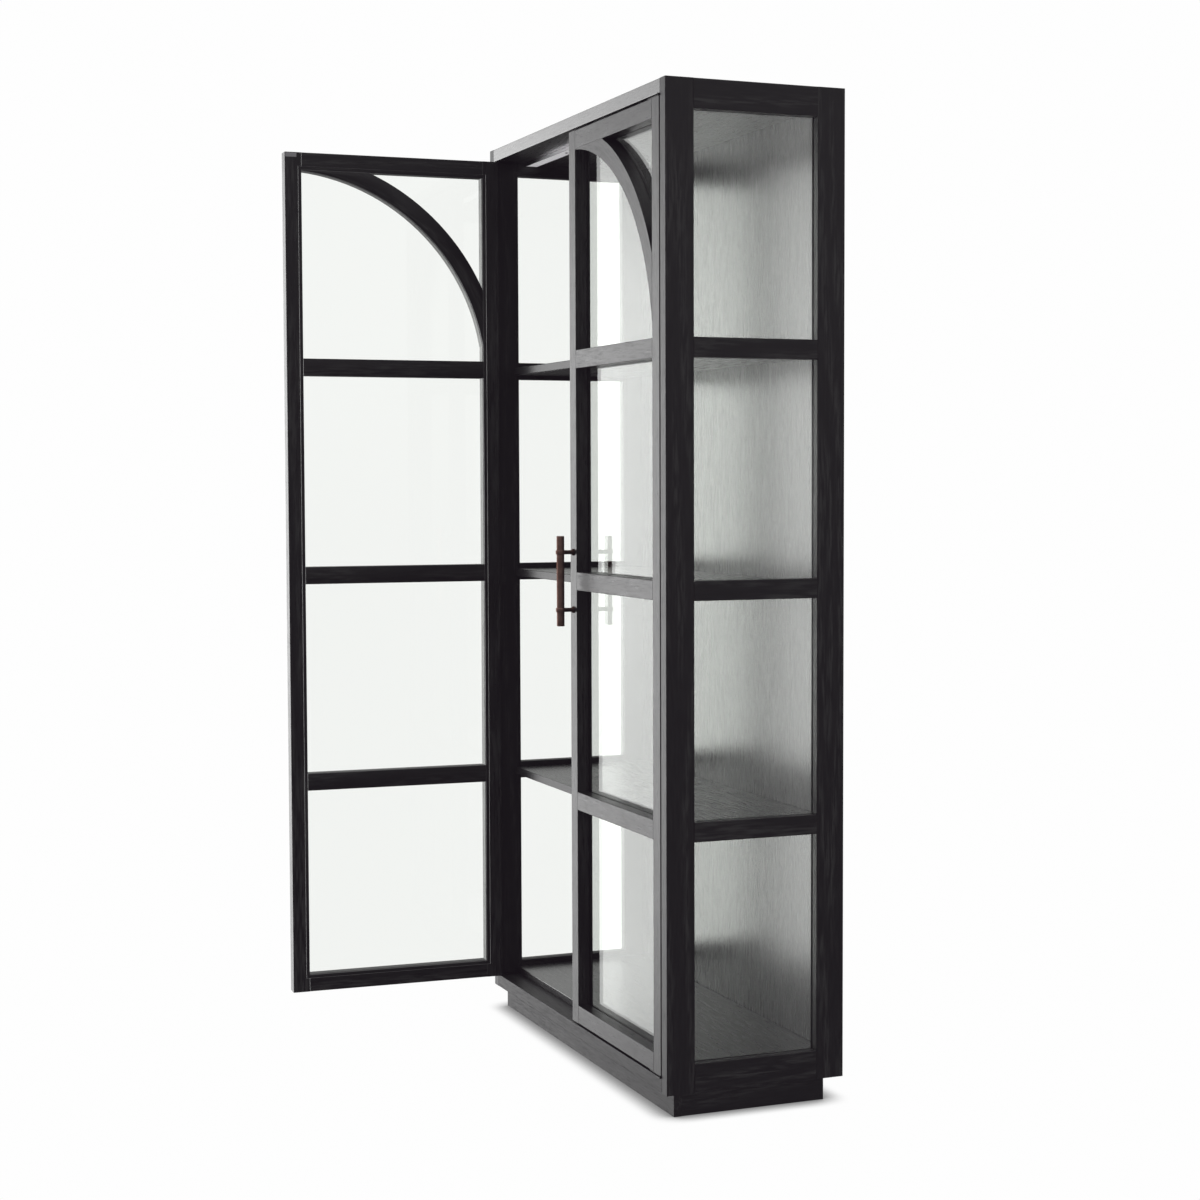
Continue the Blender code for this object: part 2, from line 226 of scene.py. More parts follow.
def arch_place(graph, place, radius):
    """Straightens the arch: its grain then runs along Z, around the bend."""
    parts = graph.add("ShaderNodeSeparateXYZ")
    graph.feed(parts.inputs[0], place)
    rise = graph.math("SUBTRACT", parts.outputs["Z"], ARCH_CENTRE_Z)
    across = graph.math("ABSOLUTE", parts.outputs["X"])
    turn = graph.math("ARCTAN2", rise, across)
    reach = graph.math("SQRT", graph.math("ADD", graph.math("MULTIPLY", rise, rise),
                                          graph.math("MULTIPLY", across, across)))
    joined = graph.add("ShaderNodeCombineXYZ")
    graph.feed(joined.inputs["X"], reach)
    graph.feed(joined.inputs["Y"], parts.outputs["Y"])
    graph.feed(joined.inputs["Z"], graph.math("MULTIPLY", turn, radius))
    return joined.outputs[0]


def front_lipping(graph, front):
    """The matt front edge of a shelf, as a roughness that is 0 behind it."""
    parts = graph.add("ShaderNodeSeparateXYZ")
    graph.feed(parts.inputs[0], object_place(graph))
    start, end = (front + depth for depth in LIPPING_DEPTH)
    return graph.remap(parts.outputs["Y"], start, end, LIPPING_ROUGHNESS, 0.0)


def oak(name, axis, seed, side=None, arch=False, gloss=0.32, tone=1.0, lacquer=0.0,
        relief=0.20, lipping=None):
    """Black-stained open-grain oak under a satin lacquer, its grain along an axis."""
    material, graph = new_material(name)
    place = object_place(graph)
    if side == "left":
        undo = (door_pose("left") @ Matrix.Diagonal((-1, 1, 1, 1))).inverted()
        place = graph.mapping(place, location=undo.to_translation(),
                              rotation=undo.to_euler())
    if arch:
        place = arch_place(graph, place, (ARCH_INNER + ARCH_OUTER) / 2)
    moved = graph.mapping(place, location=SEED_STEP * seed)
    along = graph.mapping(moved, scale=stretched(axis, GRAIN_STRETCH))
    thin = graph.mapping(moved, scale=stretched(axis, PORE_STRETCH))

    field = graph.noise(along, FIGURE_SCALE, 1.0, 0.4, 0.25)
    rings = graph.math("PINGPONG", graph.math("MULTIPLY", field, FIGURE_RINGS), 0.5)
    figure = graph.remap(rings, 0.10, 0.45)
    streaks = graph.noise(along, STREAK_SCALE, 3.0, 0.6)
    pores = graph.remap(graph.noise(thin, PORE_SCALE, 1.0, 0.5), 0.56, 0.68)

    light = graph.math("MULTIPLY", graph.math("ADD", 0.15, graph.math("MULTIPLY", figure, 0.85)),
                       graph.remap(streaks, 0.40, 0.64))
    stain = graph.mix(light, [v * tone for v in OAK_DARK[:3]] + [1.0],
                      [v * tone for v in OAK_LIGHT[:3]] + [1.0])
    rub = graph.math("MULTIPLY", worn_edge(graph, 0.0016, 0.06, 0.30),
                     graph.remap(graph.noise(moved, 55.0, 3.0, 0.6), 0.45, 0.75))
    colour = graph.mix(graph.math("MULTIPLY", rub, 0.6), stain, OAK_WORN)

    rough = graph.math("ADD", graph.remap(streaks, 0.3, 0.7, gloss - 0.02, gloss + 0.05),
                       graph.math("MULTIPLY", pores, 0.12))
    if lipping is not None:
        rough = graph.math("MAXIMUM", rough, front_lipping(graph, lipping))
    height = graph.math("SUBTRACT", graph.math("MULTIPLY", streaks, 0.5),
                        graph.math("MULTIPLY", pores, 0.65))
    normal = graph.bump(height, relief, 0.0004)
    principled(graph, colour, rough, normal, Coat_Weight=lacquer, Coat_Roughness=gloss - 0.03,
               Coat_IOR=1.7)
    return material


# ---------------------------------------------------------------- other finishes

GLASS_IOR = 1.50
GLASS_THROUGH = (0.983, 0.993, 0.980, 1.0)  # share of the light that one surface lets through
GLASS_MIRROR = (0.985, 1.0, 0.985, 1.0)


def clear_glass(name):
    """Float glass: clear, faintly green, with a mirror image that grows at a glancing angle.

    It is a thin see-through sheet and doesn't bend the light.
    """
    material, graph = new_material(name)
    through = graph.add("ShaderNodeBsdfTransparent")
    through.inputs["Color"].default_value = GLASS_THROUGH
    smear = graph.noise(object_place(graph), 3.5, 2.0, 0.5)
    shine = graph.add("ShaderNodeBsdfPrincipled")
    shine.inputs["Base Color"].default_value = GLASS_MIRROR
    shine.inputs["Metallic"].default_value = 1.0
    graph.feed(shine.inputs["Roughness"], graph.remap(smear, 0.3, 0.7, 0.0, 0.012))
    behind = graph.add("ShaderNodeNewGeometry").outputs["Backfacing"]
    bend = graph.add("ShaderNodeFresnel")
    graph.feed(bend.inputs["IOR"], graph.math("ADD", GLASS_IOR, graph.math(
        "MULTIPLY", behind, 1 / GLASS_IOR - GLASS_IOR)))
    share = graph.add("ShaderNodeMixShader")
    graph.feed(share.inputs[0], bend.outputs[0])
    graph.feed(share.inputs[1], through.outputs[0])
    graph.feed(share.inputs[2], shine.outputs[0])
    finish_surface(graph, share.outputs[0])
    return material


BRONZE_DARK = (0.26, 0.155, 0.128)
BRONZE_LIGHT = (0.40, 0.250, 0.210)
BRONZE_RUBBED = (0.58, 0.40, 0.32)


def aged_bronze(name, depth=1.0):
    """Brown patinated bronze, brushed along the bar and rubbed brighter on its edges.

    The depth scales all its colours; the posts get a darker copy, which is painted shade for where
    they stand between the bar and the door.
    """
    material, graph = new_material(name)
    place = object_place(graph)
    cloud = graph.remap(graph.noise(place, 55.0, 4.0, 0.6), 0.35, 0.70)
    brushed = graph.noise(graph.mapping(place, scale=(1.0, 1.0, 0.04)), 1500.0, 2.0, 0.5)
    patina = graph.mix(cloud, [depth * v for v in BRONZE_DARK] + [1.0],
                       [depth * v for v in BRONZE_LIGHT] + [1.0])
    rub = worn_edge(graph, 0.0009, 0.05, 0.30)
    colour = graph.mix(graph.math("MULTIPLY", rub, 0.5), patina,
                       [depth * v for v in BRONZE_RUBBED] + [1.0])
    rough = graph.math("ADD", graph.math("MULTIPLY", cloud, 0.10),
                       graph.remap(brushed, 0.3, 0.7, 0.46, 0.54))
    principled(graph, colour, rough, graph.bump(brushed, 0.10, 0.0001), metallic=1.0,
               Specular_Tint=(0.40, 0.32, 0.30, 1.0))
    return material


def black_metal(name):
    """Blackened steel plate with a fine rolled grain."""
    material, graph = new_material(name)
    place = object_place(graph)
    rolled = graph.noise(graph.mapping(place, scale=(1.0, 0.08, 1.0)), 900.0, 2.0, 0.6)
    cloud = graph.noise(place, 70.0, 3.0, 0.6)
    colour = graph.mix(cloud, (0.020, 0.020, 0.021, 1.0), (0.050, 0.048, 0.046, 1.0))
    rub = graph.math("MULTIPLY", worn_edge(graph, 0.0006, 0.05, 0.3), 0.6)
    colour = graph.mix(rub, colour, (0.23, 0.22, 0.21, 1.0))
    rough = graph.remap(rolled, 0.3, 0.7, 0.34, 0.50)
    principled(graph, colour, rough, graph.bump(rolled, 0.12, 0.0001), metallic=1.0)
    return material


def satin_aluminium(name):
    """Anodised aluminium with the fine lines of its extrusion along X."""
    material, graph = new_material(name)
    place = object_place(graph)
    lines = graph.noise(graph.mapping(place, scale=(0.01, 1.0, 1.0)), 1600.0, 2.0, 0.5)
    colour = graph.mix(lines, (0.46, 0.45, 0.47, 1.0), (0.60, 0.59, 0.61, 1.0))
    rough = graph.remap(lines, 0.3, 0.7, 0.28, 0.38)
    principled(graph, colour, rough, graph.bump(lines, 0.10, 0.0001), metallic=1.0)
    return material


DIODE_PITCH = 0.0166                # from one light-emitting diode to the next
COVER_GLOW = 0.22                   # brightness that the cover gives by itself


def opal_plastic(name):
    """Frosted diffuser over a row of light-emitting diodes, whose glow is painted into its colour as
    faint lighter spots.
    """
    material, graph = new_material(name)
    place = object_place(graph)
    parts = graph.add("ShaderNodeSeparateXYZ")
    graph.feed(parts.inputs[0], place)
    beat = graph.math("COSINE", graph.math("MULTIPLY", parts.outputs["X"], 2 * pi / DIODE_PITCH))
    # Painted glow: the cover's colour is made lighter over each diode.
    spots = graph.math("MULTIPLY", graph.remap(beat, -0.2, 1.0), 0.35)
    mottle = graph.noise(place, 240.0, 3.0, 0.6)
    colour = graph.mix(graph.math("ADD", spots, graph.math("MULTIPLY", mottle, 0.3)),
                       (0.74, 0.73, 0.76, 1.0), (0.90, 0.89, 0.91, 1.0))
    rough = graph.remap(mottle, 0.3, 0.7, 0.42, 0.55)
    principled(graph, colour, rough, graph.bump(mottle, 0.05, 0.0002),
               Emission_Color=(1.0, 0.99, 1.0, 1.0), Emission_Strength=COVER_GLOW)
    return material


def black_plastic(name):
    """Moulded plastic with a fine spark texture."""
    material, graph = new_material(name)
    place = object_place(graph)
    spark = graph.noise(place, 2200.0, 2.0, 0.6)
    cloud = graph.noise(place, 120.0, 2.0, 0.5)
    colour = graph.mix(cloud, (0.012, 0.012, 0.013, 1.0), (0.022, 0.021, 0.022, 1.0))
    rough = graph.remap(cloud, 0.3, 0.7, 0.42, 0.56)
    principled(graph, colour, rough, graph.bump(spark, 0.15, 0.0001))
    return material


# ---------------------------------------------------------------- mesh helpers

def make_piece(name, mesh_data, material, body, smooth=None):
    """Turn a bmesh into an object that rides on a body, and free the bmesh."""
    bmesh.ops.recalc_face_normals(mesh_data, faces=mesh_data.faces[:])
    mesh = bpy.data.meshes.new(name)
    mesh_data.to_mesh(mesh)
    mesh_data.free()
    if smooth:
        mesh.shade_smooth()
        mesh.set_sharp_from_angle(angle=radians(smooth))
    mesh.materials.append(material)
    piece = bpy.data.objects.new(name, mesh)
    bpy.context.scene.collection.objects.link(piece)
    piece.visible_glossy = body != "left_door"      # the open door shows in no mirror image
    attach(piece, body)
    return piece


def loft(mesh_data, rings, closed_ends=True):
    """Skin a row of point rings that all have the same number of points."""
    loops = [[mesh_data.verts.new(point) for point in ring] for ring in rings]
    count = len(loops[0])
    for first, second in zip(loops, loops[1:]):
        for step in range(count):
            after = (step + 1) % count
            mesh_data.faces.new((first[step], first[after], second[after], second[step]))
    if closed_ends:
        mesh_data.faces.new(loops[0])
        mesh_data.faces.new(list(reversed(loops[-1])))


def rounded_corner(centre, radius, first, last, steps=3):
    """Points of an arc about a centre, with angles in degrees."""
    points = []
    for step in range(steps + 1):
        turn = radians(first + (last - first) * step / steps)
        points.append((centre[0] + radius * cos(turn), centre[1] + radius * sin(turn)))
    return points


def frame_matrix(origin, along, across, deep):
    """Takes (along, across, depth) to the cabinet's coordinates."""
    matrix = Matrix((along, across, deep)).transposed().to_4x4()
    matrix.translation = origin
    return matrix


def bead_profile(width, depth):
    """Across from the sight edge, and up from the glass, with a rounded visible corner."""
    points = [(width, depth), (width, 0.0), (0.0, 0.0)]
    points += rounded_corner((BEAD_EDGE, depth - BEAD_EDGE), BEAD_EDGE, 180, 90)
    return points


def bar_profile(height, depth):
    """Section of a flat bar that is rounded on its two visible long edges."""
    edge = BAR_EDGE
    points = [(height, 0.0), (0.0, 0.0)]
    points += rounded_corner((edge, depth - edge), edge, 180, 90)
    points += rounded_corner((height - edge, depth - edge), edge, 90, 0)
    return points


def strip_mesh(profile, length, matrix, mitre):
    """A straight strip with a profile, longer towards its outside where it is mitred."""
    mesh_data = bmesh.new()
    spread = 1.0 if mitre else 0.0
    rings = []
    for end, sense in ((0.0, -1.0), (length, 1.0)):
        rings.append([matrix @ Vector((end + sense * spread * a, a, d)) for a, d in profile])
    loft(mesh_data, rings)
    return mesh_data


def turned(profile, matrix, closed_ends=True):
    """A turned shape about Z from (radius, height) points, placed by a matrix."""
    mesh_data = bmesh.new()
    rings = []
    for radius, height in profile:
        rings.append([matrix @ Vector((radius * cos(2 * pi * step / RADIAL_STEPS),
                                       radius * sin(2 * pi * step / RADIAL_STEPS), height))
                      for step in range(RADIAL_STEPS)])
    loft(mesh_data, rings, closed_ends)
    return mesh_data


def add_mesh(target, source):
    """Copy one bmesh into another, and free the first."""
    copy = bpy.data.meshes.new("copy")
    source.to_mesh(copy)
    source.free()
    target.from_mesh(copy)
    bpy.data.meshes.remove(copy)


def block_mesh(low, high, edge, segments=2):
    """A box with all its edges rounded."""
    mesh_data = bmesh.new()
    size = Vector(high) - Vector(low)
    middle = (Vector(high) + Vector(low)) / 2
    place = Matrix.Translation(middle) @ Matrix.Diagonal((*size, 1.0))
    bmesh.ops.create_cube(mesh_data, size=1.0, matrix=place)
    bmesh.ops.bevel(mesh_data, geom=mesh_data.edges[:], offset=edge, segments=segments,
                    profile=0.5, affect="EDGES")
    return mesh_data


def towards(at, direction):
    """Stands a turned shape at a point, with its Z along a direction."""
    turn = Vector((0, 0, 1)).rotation_difference(Vector(direction)).to_matrix().to_4x4()
    return Matrix.Translation(at) @ turn


def screw_mesh(at, direction, radius, height):
    """A low round screw head with a six-lobed recess."""
    mesh_data = bmesh.new()
    matrix = towards(at, direction)

    def ring(reach, lift, lobe=0.0):
        points = []
        for step in range(SCREW_STEPS):
            turn = 2 * pi * step / SCREW_STEPS
            spread = reach * (1.0 + lobe * cos(6 * turn))
            points.append(matrix @ Vector((spread * cos(turn), spread * sin(turn), lift)))
        return points

    loft(mesh_data, [
        ring(radius, 0.0),
        ring(radius, 0.35 * height),
        ring(0.86 * radius, 0.85 * height),
        ring(0.62 * radius, height),
        ring(0.46 * radius, height, 0.14),
        ring(0.42 * radius, 0.15 * height, 0.14),
    ])
    return mesh_data


# ---------------------------------------------------------------- sizes from the frame

def low(node):
    """Lowest corner of a node of the frame."""
    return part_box(node)[0]


def high(node):
    """Highest corner of a node of the frame."""
    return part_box(node)[1]


DOOR_REAR = high("right_door_hinge_stile").y
DOOR_LEFT = high("right_door_meeting_stile").x
DOOR_RIGHT = low("right_door_hinge_stile").x
DOOR_LOW = high("right_door_bottom_rail").z
DOOR_HIGH = low("right_door_top_rail").z
DOOR_GLASS_REAR = high("right_door_glass").y
GLASS_LAP = high("right_door_glass").x - DOOR_RIGHT
BAR_HEIGHT = high("right_door_upper_bar").z - low("right_door_upper_bar").z
BAR_BOTTOMS = {name: low(f"right_door_{name}_bar").z for name in BAR_NAMES}
SHELVES = {name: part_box(f"{name}_shelf") for name in BAR_NAMES}

# The circle that the frame's arches follow, about X = 0
ARCH_CENTRE_Z = 1.540
ARCH_INNER = 0.486
ARCH_OUTER = 0.526
ARCH_STEPS = 40


# ---------------------------------------------------------------- glazing beads and bars

def rectangle_strips(u0, u1, v0, v1):
    """Origin, direction and outward direction of the four sides of a sight opening."""
    return {
        "bottom": ((u0, v0), (1, 0), (0, -1), u1 - u0),
        "top": ((u0, v1), (1, 0), (0, 1), u1 - u0),
        "near": ((u0, v0), (0, 1), (-1, 0), v1 - v0),
        "far": ((u1, v0), (0, 1), (1, 0), v1 - v0),
    }


def door_beads(side, pose, wood):
    """Four mitred beads that hold a door's glass from the inside."""
    names = {"near": "meeting", "far": "hinge", "top": "top", "bottom": "bottom"}
    start = DOOR_GLASS_REAR + HAIR
    profile = bead_profile(GLASS_LAP - HAIR, DOOR_REAR - start)
    strips = rectangle_strips(DOOR_LEFT, DOOR_RIGHT, DOOR_LOW, DOOR_HIGH)
    for key, (origin, along, across, length) in strips.items():
        place = frame_matrix((origin[0], start, origin[1]), (along[0], 0, along[1]),
                             (across[0], 0, across[1]), (0, 1, 0))
        bead = strip_mesh(profile, length, pose @ place, mitre=True)
        grain = wood["Z"] if key in ("near", "far") else wood["X"]
        make_piece(f"{side}_door_{names[key]}_bead", bead, grain, f"{side}_door",
                   smooth=50)


def door_inner_bars(side, pose, wood):
    """The inner halves of a door's crossbars, between its beads."""
    start = DOOR_GLASS_REAR + HAIR
    profile = bar_profile(BAR_HEIGHT, DOOR_REAR - start)
    for name in BAR_NAMES:
        place = frame_matrix((DOOR_LEFT + HAIR, start, BAR_BOTTOMS[name]), (1, 0, 0),
                             (0, 0, 1), (0, 1, 0))
        bar = strip_mesh(profile, DOOR_RIGHT - DOOR_LEFT - 2 * HAIR, pose @ place, mitre=False)
        make_piece(f"{side}_door_inner_{name}_bar", bar, wood["X"], f"{side}_door",
                   smooth=50)


def arch_outline():
    """Outline of the arch inside the sight opening, in closed right-hand coordinates."""
    left = DOOR_LEFT + HAIR
    right = DOOR_RIGHT - HAIR
    top = DOOR_HIGH - HAIR

    def arc(radius, first, last):
        turns = [first + (last - first) * step / ARCH_STEPS for step in range(ARCH_STEPS + 1)]
        return [(radius * sin(turn), ARCH_CENTRE_Z + radius * cos(turn)) for turn in turns]

    crown = asin(left / ARCH_INNER)
    foot = asin(right / ARCH_INNER)
    shoulder = asin(right / ARCH_OUTER)
    crest = acos((top - ARCH_CENTRE_Z) / ARCH_OUTER)
    return arc(ARCH_INNER, crown, foot) + arc(ARCH_OUTER, shoulder, crest) + [(left, top)]


def door_inner_arch(side, pose, material):
    """The inner half of a door's arch, rounded on its visible edges."""
    start = DOOR_GLASS_REAR + HAIR
    mesh_data = bmesh.new()
    ring = [mesh_data.verts.new((x, start, z)) for x, z in arch_outline()]
    face = mesh_data.faces.new(ring)
    pushed = bmesh.ops.extrude_face_region(mesh_data, geom=[face])
    raised = [part for part in pushed["geom"] if isinstance(part, bmesh.types.BMVert)]
    bmesh.ops.translate(mesh_data, verts=raised, vec=(0, DOOR_REAR - start, 0))
    top = next(part for part in pushed["geom"] if isinstance(part, bmesh.types.BMFace))
    bmesh.ops.bevel(mesh_data, geom=list(top.edges), offset=BAR_EDGE / 2, segments=2,
                    profile=0.5, affect="EDGES")
    mesh_data.transform(pose)
    make_piece(f"{side}_door_inner_arch", mesh_data, material, f"{side}_door",
               smooth=50)


def side_glazing(side, wood):
    """Beads and inner bar halves of one side frame."""
    sign = SIDE_SIGNS[side]
    frame_low, frame_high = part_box(f"{side}_side_front_stile")
    glass_low, glass_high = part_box(f"{side}_side_glass")
    inner = frame_low.x if sign > 0 else frame_high.x
    start = (glass_low.x if sign > 0 else glass_high.x) - sign * HAIR
    depth = abs(start - inner)
    near = frame_high.y
    far = low(f"{side}_side_rear_stile").y
    bottom = high(f"{side}_side_bottom_rail").z
    top = low(f"{side}_side_top_rail").z
    deep = (-sign, 0, 0)
    profile = bead_profile(GLASS_LAP - HAIR, depth)
    names = {"near": "front", "far": "rear", "top": "top", "bottom": "bottom"}
    for key, (origin, along, across, length) in rectangle_strips(near, far, bottom, top).items():
        place = frame_matrix((start, *origin), (0, *along), (0, *across), deep)
        bead = strip_mesh(profile, length, place, mitre=True)
        grain = wood["Z"] if key in ("near", "far") else wood["Y"]
        make_piece(f"{side}_side_{names[key]}_bead", bead, grain, "carcase", smooth=50)
    for name in BAR_NAMES:
        place = frame_matrix((start, near + HAIR, BAR_BOTTOMS[name]), (0, 1, 0), (0, 0, 1), deep)
        bar = strip_mesh(bar_profile(BAR_HEIGHT, depth), far - near - 2 * HAIR, place, mitre=False)
        make_piece(f"{side}_side_inner_{name}_bar", bar, wood["Y"], "carcase", smooth=50)


# ---------------------------------------------------------------- handle

BAR_TAPER = 0.0009                  # rounding of the handle bar's ends
GROOVE = 0.00035                    # depth of the turned lines beside each collar


def handle_bar(material):
    """The turned bar, with fine lines cut beside its collars."""
    first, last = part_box("handle_bar")
    centre = (first + last) / 2
    radius = (last.x - first.x) / 2
    half = (last.z - first.z) / 2
    grooves = []
    for post in ("handle_lower_post", "handle_upper_post"):
        foot, head = low(post).z - centre.z, high(post).z - centre.z
        grooves += [foot - 0.0022, head + 0.0022]
    profile = [(0.35 * radius, -half), (radius - BAR_TAPER, -half)]
    profile += [(radius - BAR_TAPER + x, -half + BAR_TAPER + y)
                for x, y in rounded_corner((0, 0), BAR_TAPER, -90, 0, 4)][1:]
    for z in sorted(grooves):
        profile += [(radius, z - 0.0006), (radius - GROOVE, z - 0.0002),
                    (radius - GROOVE, z + 0.0002), (radius, z + 0.0006)]
    profile += [(radius - BAR_TAPER + x, half - BAR_TAPER + y)
                for x, y in rounded_corner((0, 0), BAR_TAPER, 0, 90, 4)]
    profile += [(0.35 * radius, half)]
    bar = turned(profile, Matrix.Translation(centre))
    piece = make_piece("turned_handle_bar", bar, material, "right_door", smooth=40)
    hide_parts("handle_bar")
    return centre, radius


def collar_mesh(centre, bore, reach, half):
    """A ring around the bar with a rounded outside."""
    edge = 0.0012
    profile = [(bore, -half), (reach - edge, -half)]
    profile += [(reach - edge + x, -half + edge + y)
                for x, y in rounded_corner((0, 0), edge, -90, 0, 4)][1:]
    profile += [(reach - edge + x, half - edge + y)
                for x, y in rounded_corner((0, 0), edge, 0, 90, 4)]
    profile += [(bore, half), (bore, -half)]
    return turned(profile, Matrix.Translation(centre), closed_ends=False)


def handle_post(name, bar_centre, bar_radius, material, collar_material):
    """One post: a stepped rosette on the door, a waisted stem and a collar on the bar."""
    first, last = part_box(f"handle_{name}_post")
    z = (first.z + last.z) / 2
    reach = (last.x - first.x) / 2
    half = (last.z - first.z) / 2
    collar_half = min(half, 0.0045)
    seat = last.y
    stem = 0.0048
    rosette = 0.0075
    length = seat - bar_centre.y - bar_radius - HAIR
    profile = [(0.002, 0.0), (rosette, 0.0), (rosette, 0.0020), (rosette - 0.0006, 0.0027),
               (stem + 0.0012, 0.0030), (stem + 0.0004, 0.0034), (stem, 0.0044),
               (stem - 0.0003, length / 2), (stem, length - 0.0010), (stem - 0.0020, length + 0.0005),
               (0.0015, length + 0.0009)]
    mesh_data = turned(profile, towards((bar_centre.x, seat, z), (0, -1, 0)))
    piece = make_piece(f"turned_handle_{name}_post", mesh_data, material, "right_door",
                       smooth=40)
    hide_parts(f"handle_{name}_post")
    ring_at = Vector((bar_centre.x, bar_centre.y, z))
    collar = collar_mesh(ring_at, bar_radius + HAIR, reach, collar_half)
    make_piece(f"handle_{name}_collar", collar, collar_material, "right_door",
               smooth=40)


# ---------------------------------------------------------------- fittings

PIVOT_PLATE = 0.0020                # thickness of a pivot plate
DOOR_PLATE_SCREWS = (0.022, 0.050)  # from the hinge end of a door's plate
CABINET_PLATE_SCREWS = (0.020, 0.040)       # behind the pivot


def plate_screws(material):
    """Screws that hold the eight pivot plates to the doors and to the panels."""
    for side, sign in SIDE_SIGNS.items():
        pose = door_pose(side)
        pivot = Vector(JOINTS[f"{side}_door_hinge"]["pos_m"])
        for end, way in (("top", 1), ("bottom", -1)):
            plate_low, plate_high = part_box(f"right_door_{end}_plate")
            face = plate_high.z if end == "top" else plate_low.z
            mesh_data = bmesh.new()
            for reach in DOOR_PLATE_SCREWS:
                at = (plate_high.x - reach, (plate_low.y + plate_high.y) / 2 + 0.001, face)
                add_mesh(mesh_data, screw_mesh(at, (0, 0, way), 0.0030, 0.0002))
            mesh_data.transform(pose)
            make_piece(f"{side}_door_{end}_plate_screws", mesh_data, material,
                       f"{side}_door", smooth=40)

            plate_low, plate_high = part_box(f"{side}_{end}_pivot_plate")
            face = plate_high.z - PIVOT_PLATE if end == "top" else plate_low.z + PIVOT_PLATE
            mesh_data = bmesh.new()
            for behind in CABINET_PLATE_SCREWS:
                at = (pivot.x - sign * 0.0042, pivot.y + behind, face)
                add_mesh(mesh_data, screw_mesh(at, (0, 0, -way), 0.0030, 0.0002))
            make_piece(f"{side}_{end}_pivot_plate_screws", mesh_data, material,
                       "carcase", smooth=40)


def strike_plates(material):
    """Thin steel plates on the doors' inner faces, for the magnetic catch to hold."""
    catch_low = low("magnetic_catch")
    thick = (catch_low.y - DOOR_REAR) / 2
    bottom = catch_low.z - 0.003
    top = high("right_door_top_rail").z - 0.0015
    start = low("right_door_meeting_stile").x + 0.0015
    for side in SIDE_SIGNS:
        plate = block_mesh((start, DOOR_REAR, bottom), (start + 0.0260, DOOR_REAR + thick, top),
                           thick / 3, 1)
        centre = (start + 0.0130, DOOR_REAR + thick, (bottom + top) / 2)
        add_mesh(plate, screw_mesh(centre, (0, 1, 0), 0.0022, thick / 2))
        plate.transform(door_pose(side))
        make_piece(f"{side}_door_strike_plate", plate, material, f"{side}_door",
                   smooth=40)


def catch(plastic, metal):
    """The double catch: a moulded housing with two magnets between steel poles."""
    first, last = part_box("magnetic_catch")
    front = first.y + 0.0004
    housing = block_mesh((first.x, front, first.z), last, 0.0009, 3)
    piece = make_piece("catch_housing", housing, plastic, "carcase", smooth=40)
    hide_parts("magnetic_catch")
    poles = bmesh.new()
    for middle in (first.x * 0.52, last.x * 0.52):
        for offset in (-0.0042, 0.0042):
            left = middle + offset - 0.0007
            add_mesh(poles, block_mesh((left, first.y, first.z + 0.0022),
                                       (left + 0.0014, front + 0.002, last.z - 0.0018), 0.0002, 1))
        add_mesh(poles, screw_mesh((middle, (first.y + last.y) / 2, first.z), (0, 0, -1),
                                   0.0024, 0.0006))
    make_piece("catch_magnets_and_screws", poles, metal, "carcase", smooth=40)


TOUCH_DIMMER_X = -0.270


def light_fittings(cap_material, dimmer_material):
    """The light strip's end caps, each with a screw, and its round touch dimmer."""
    first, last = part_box("light_channel")
    cover_face = low("light_cover").z
    for side, sign in SIDE_SIGNS.items():
        edge = last.x if sign > 0 else first.x
        ends = sorted((edge + sign * HAIR, edge + sign * 0.0016))
        cap = block_mesh((ends[0], first.y, first.z), (ends[1], last.y, last.z), 0.0005)
        add_mesh(cap, screw_mesh((edge + sign * 0.0016, (first.y + last.y) / 2,
                                  (first.z + last.z) / 2), (sign, 0, 0), 0.0018, 0.0006))
        make_piece(f"light_{side}_end_cap", cap, cap_material, "carcase", smooth=40)
    middle = (first.y + last.y) / 2
    profile = [(0.0042, 0.0), (0.0042, 0.0006), (0.0036, 0.0010), (0.0030, 0.0010),
               (0.0026, 0.0006), (0.0012, 0.0005)]
    dimmer = turned(profile, towards((TOUCH_DIMMER_X, middle, cover_face), (0, 0, -1)))
    make_piece("touch_dimmer", dimmer, dimmer_material, "carcase", smooth=40)


BRACKET_PLACES = {"front": -0.085, "rear": 0.095}   # along Y


def shelf_brackets(material):
    """Small steel angles under the shelves, screwed to the inner bars."""
    leaf = 0.0085
    seat = 0.016
    thick = 0.0014
    half = 0.010
    for name, (shelf_low, shelf_high) in SHELVES.items():
        under = shelf_low.z - HAIR
        for side, sign in SIDE_SIGNS.items():
            face = sign * (abs(shelf_high.x) + HAIR)
            for spot, y in BRACKET_PLACES.items():
                section = [(0, 0), (-seat, 0), (-seat, -thick), (-2.2 * thick, -thick),
                           (-thick, -2.2 * thick), (-thick, -leaf), (0, -leaf)]
                mesh_data = bmesh.new()
                rings = [[Vector((face + sign * a, end, under + b)) for a, b in section]
                         for end in (y - half, y + half)]
                loft(mesh_data, rings)
                bmesh.ops.bevel(mesh_data, geom=mesh_data.edges[:], offset=0.0002, segments=1,
                                affect="EDGES")
                add_mesh(mesh_data, screw_mesh((face - sign * 0.010, y, under - thick),
                                               (0, 0, -1), 0.0026, 0.0008))
                add_mesh(mesh_data, screw_mesh((face - sign * thick, y, under - 0.0054),
                                               (-sign, 0, 0), 0.0022, 0.0008))
                make_piece(f"{name}_shelf_{side}_{spot}_bracket", mesh_data, material,
                           "carcase", smooth=40)


